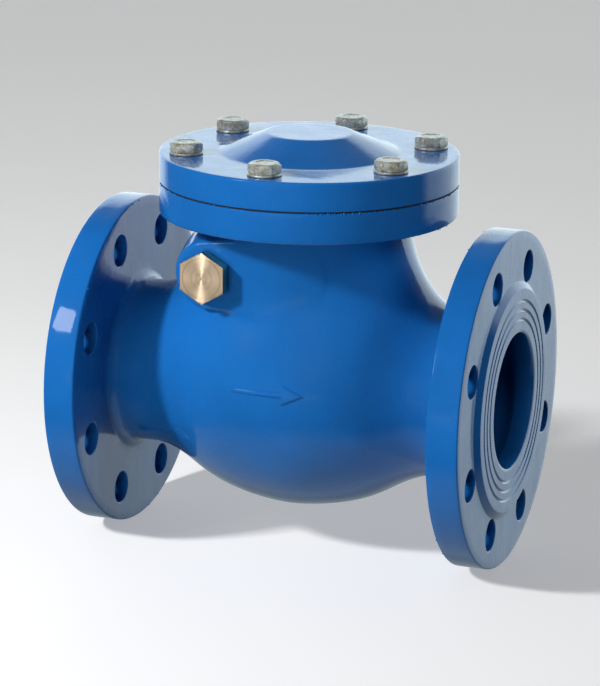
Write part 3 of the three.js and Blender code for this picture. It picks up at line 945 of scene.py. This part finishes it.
def dark_sheet(name, color, roughness, scale):
    """Gasket fibre or moulded rubber: dark, dull and faintly grained."""
    material, tree, surface, place = shader(name, color, roughness)
    light = tuple(min(1, c * 2.2) for c in color)
    tone = ramp(tree, noise(tree, place, scale, 5, 0.6), (0.35, color), (0.8, light))
    grain = bump(tree, noise(tree, place, scale * 2, 3), 0.3, 0.0002)
    feed(surface, {"Base Color": tone, "Normal": grain})
    return material


# Stage, light and camera.

def make_camera():
    """The camera stands a little right of the valve's front and above it, far back with a long lens."""
    azimuth, elevation, roll = (math.radians(a) for a in (20.479, 15.539, 0.696))
    distance, right_of_middle, above_middle = 1843.93, -3.95, 20.15
    back = Vector((math.sin(azimuth) * math.cos(elevation), -math.cos(azimuth) * math.cos(elevation),
                   math.sin(elevation)))
    level = back.to_track_quat("Z", "Y")
    turn = level @ Quaternion((0, 0, 1), roll)
    eye = back * distance + turn @ Vector((right_of_middle, above_middle, 0))
    data = bpy.data.cameras.new("camera")
    data.lens = 161.33
    data.sensor_width = 36
    data.clip_end = 100
    camera = bpy.data.objects.new("camera", data)
    bpy.context.scene.collection.objects.link(camera)
    camera.location = (eye + Vector((0, 0, AXIS_Z))) * MM
    camera.rotation_mode = "QUATERNION"
    camera.rotation_quaternion = turn
    bpy.context.scene.camera = camera


def softbox(name, place, target, size, power, glossy=True, only=()):
    """A rectangular lamp aimed at a point.

    With glossy off it makes no mirror image of itself, and with only it lights just those pieces.
    """
    data = bpy.data.lights.new(name, "AREA")
    data.shape = "RECTANGLE"
    data.size, data.size_y = size
    data.energy = power
    lamp = bpy.data.objects.new(name, data)
    bpy.context.scene.collection.objects.link(lamp)
    lamp.location = place
    lamp.rotation_euler = (Vector(target) - Vector(place)).to_track_quat("-Z", "Y").to_euler()
    lamp.visible_glossy = glossy
    if only:
        lit = bpy.data.collections.new(name)
        for piece in only:
            lit.objects.link(piece)
        lamp.light_linking.receiver_collection = lit


def from_middle(azimuth, elevation, distance):
    """A place seen from the valve's middle; azimuth 0 is straight in front, towards -Y."""
    turn, rise = math.radians(azimuth), math.radians(elevation)
    reach = distance * math.cos(rise)
    return Vector((reach * math.sin(turn), -reach * math.cos(turn), distance * math.sin(rise) + AXIS_Z * MM))


def make_room():
    """A studio that is bright behind the valve, up to the top of its backdrop, and dim in front.

    The gloss mirrors it slightly cool, it lights dull surfaces less, and the camera sees a plain grey wall.
    """
    world = bpy.data.worlds.new("studio")
    bpy.context.scene.world = world
    world.use_nodes = True
    tree = world.node_tree
    direction = tree.nodes.new("ShaderNodeTexCoord").outputs["Generated"]
    split = add_node(tree, "ShaderNodeSeparateXYZ", {0: direction})

    def along(axis, *stops):
        spread = add_node(tree, "ShaderNodeMapRange", {"Value": split.outputs[axis], "From Min": -1})
        places = [((place + 1) / 2, grey(level)) for place, level in stops]
        return ramp(tree, spread.outputs[0], *places)

    def mix(factor, a, b, way="MIX"):
        feeds = {"Factor": factor, "A": a, "B": b}
        return add_node(tree, "ShaderNodeMix", feeds, data_type="RGBA", blend_type=way).outputs["Result"]

    backdrop = along("Z", (-1, 0.2), (-0.45, 0.25), (-0.27, 0.58), (-0.12, 0.92), (0.05, 1),
                     (0.5, 1), (0.6, 0.12), (1, 0.1))
    front = along("Z", (-1, 0.4), (-0.7, 0.3), (-0.5, 0.03), (1, 0.03))
    behind = along("Y", (0.42, 0), (0.58, 1))
    rays = tree.nodes.new("ShaderNodeLightPath").outputs
    cool = mix(rays["Is Glossy Ray"], mix(behind, front, backdrop), (0.84, 1.0, 1.08, 1), "MULTIPLY")
    seen = mix(rays["Is Camera Ray"], cool, (0.48, 0.48, 0.48, 1))
    strength = add_node(tree, "ShaderNodeMapRange", {
        "Value": rays["Is Diffuse Ray"], "To Min": 1.35, "To Max": 0.3})
    feed(tree.nodes["Background"], {"Color": seen, "Strength": strength.outputs[0]})


def make_stage():
    """A plain pale floor that neither mirrors in the enamel nor colours it."""
    mesh = bpy.data.meshes.new("floor")
    reach = 6
    corners = [(-reach, -reach, 0), (reach, -reach, 0), (reach, reach, 0), (-reach, reach, 0)]
    mesh.from_pydata(corners, [], [(0, 1, 2, 3)])
    floor = bpy.data.objects.new("floor", mesh)
    bpy.context.scene.collection.objects.link(floor)
    material, tree, surface, place = shader("pale_floor", grey(0.8), 0.7)
    tone = ramp(tree, noise(tree, place, 3, 2), (0.3, grey(0.78)), (0.7, grey(0.82)))
    feed(surface, {"Base Color": tone, "Emission Color": (1, 1, 1, 1), "Emission Strength": 0.36})
    floor.data.materials.append(material)
    floor.visible_glossy = False
    floor.visible_diffuse = False
    floor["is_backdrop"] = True
    make_room()


def make_lamps(bare_metal, valve):
    """A key from the upper left, soft fills round the valve, and two lamps for the bare metal alone."""
    middle = (0, 0, AXIS_Z * MM)
    softbox("key", from_middle(-43, 32, 1.6), middle, (0.16, 0.16), 26, glossy=False)
    softbox("fill", from_middle(4, 20, 1.8), middle, (0.8, 0.6), 3.2, glossy=False, only=valve)
    softbox("side_fill", from_middle(82, 34, 1.8), middle, (0.6, 0.6), 7, glossy=False, only=valve)
    softbox("low_fill", from_middle(-4, -1, 1.3), middle, (0.9, 0.14), 8, glossy=False, only=valve)
    softbox("back_fill", from_middle(165, 22, 1.8), middle, (0.9, 0.7), 9, glossy=False, only=valve)
    softbox("window", from_middle(-34, 31, 0.95), middle, (0.14, 0.2), 0.6)
    softbox("metal_panel", from_middle(-21, 22, 1.3), middle, (0.12, 0.9), 4, only=bare_metal)
    softbox("metal_table", from_middle(-22, 0, 0.55), middle, (0.5, 0.16), 0.28, only=bare_metal)


# Assembly.

def dress(piece, material, slot, body, *nodes):
    """Gives a piece its material, and tells the frame its body and the nodes it stands for; the slot is not
    used.
    """
    piece.data.materials.clear()
    piece.data.materials.append(material)
    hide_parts(*nodes)
    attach(piece, body)


bpy.context.scene.view_settings.view_transform = "Standard"
make_camera()
make_stage()

enamel = blue_enamel()
zinc = plated_steel()
steel = machined_steel()
fibre = dark_sheet("gasket_fibre", (0.012, 0.013, 0.014), 0.7, 300)
rubber = dark_sheet("seal_rubber", (0.014, 0.014, 0.015), 0.55, 200)
hinge_middle = Vector((HINGE_X, 0, HINGE_Z + AXIS_Z)) * MM
pipe_middle = Vector((0, 0, AXIS_Z)) * MM
brass_colors = ((0.68, 0.51, 0.34), (0.80, 0.63, 0.45))
plug_brass = turned_metal("brass", brass_colors, 0.3, hinge_middle, "Y")
seat_brass = turned_metal("seat_brass", brass_colors, 0.3, pipe_middle, "X")

# Castings, and what is fixed to them.
dress(body_casting(), enamel, "blue_enamel", "casing", "valve_body")
dress(cover_casting(), enamel, "blue_enamel", "casing", "bonnet_cover")
dress(cover_gasket(), fibre, "gasket_fibre", "casing", "cover_gasket")
beads = [paint_beads("gasket_line_beads", enamel, TOP_R - 0.35, TOP_FACE_Z - 0.3, 0.2, 2),
         paint_beads("top_flange_beads", enamel, TOP_R - 0.9, TOP_UNDERSIDE_Z + 0.5, 0.12, 4),
         paint_beads("inlet_rim_beads", enamel, FLANGE_R - 0.9, -FLANGE_BACK_X - 0.4, 0.08, 6, "X"),
         paint_beads("outlet_rim_beads", enamel, FLANGE_R - 0.9, FLANGE_BACK_X + 0.4, 0.08, 8, "X")]
dress(gather(beads), enamel, "blue_enamel", "casing")
bolts = round_the_cover("cover_bolts", cover_bolt(), zinc, 15, 4, 3)
dress(bolts, zinc, "zinc_steel", "casing", *[f"cover_bolt_{i}" for i in range(1, COVER_BOLTS + 1)])
washers = round_the_cover("cover_washers", cover_washer(), zinc, 0, 180, 5)
dress(washers, zinc, "zinc_steel", "casing", *[f"cover_washer_{i}" for i in range(1, COVER_BOLTS + 1)])
plug = hinge_plug()
dress(plug, plug_brass, "brass", "casing", "hinge_plug")
seal = ring("plug_seal", "hinge_plug_seal", "Y", PLUG_BORE_R, 12.9, 0.2, 64)
dress(seal, fibre, "gasket_fibre", "casing", "hinge_plug_seal")
seat = ring("seat_facing", "seat_ring", "X", BORE_R, DISC_R, 0.5, 128)
dress(seat, seat_brass, "brass", "casing", "seat_ring")
for side in ("front", "rear"):
    bush = ring(f"hinge_bush_{side}_turned", f"hinge_bush_{side}", "Y", PIN_BORE_R, BUSH_R, 0.4, 56)
    dress(bush, plug_brass, "brass", "casing", f"hinge_bush_{side}")
    thrust = ring(f"thrust_washer_{side}", f"arm_thrust_washer_{side}", "Y", PIN_BORE_R, 9.5, 0.3, 56)
    dress(thrust, steel, "stainless", "casing", f"arm_thrust_washer_{side}")
pin_low, pin_high = node_box("hinge_pin")
pin = soften([(0, pin_low[1]), (PIN_R, pin_low[1], 0.8), (PIN_R, pin_high[1], 0.8), (0, pin_high[1])], 3)
shaft = turned("hinge_shaft", dense(pin, 10), "Y", (HINGE_X, 0, HINGE_Z), 56)
dress(shaft, steel, "stainless", "casing", "hinge_pin")

# Arm, and the disc with what turns with it.
dress(swing_arm(), steel, "stainless", "arm", "swing_arm")
dress(valve_disc(), steel, "stainless", "disc_set", "disc")
facing = ring("facing_ring", "disc_facing_ring", "X", SPIGOT_R + GAP, DISC_R, 0.5, 112)
dress(facing, rubber, "seal_rubber", "disc_set", "disc_facing_ring")
washer = ring("nut_washer", "disc_washer", "X", STUD_BORE_R, NUT_WASHER_R, 0.35, 64)
dress(washer, steel, "stainless", "disc_set", "disc_washer")
dress(disc_nut(), steel, "stainless", "disc_set", "disc_nut")
dress(split_pin(), seat_brass, "brass", "disc_set", "disc_split_pin")
make_lamps([bolts, washers, plug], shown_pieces())
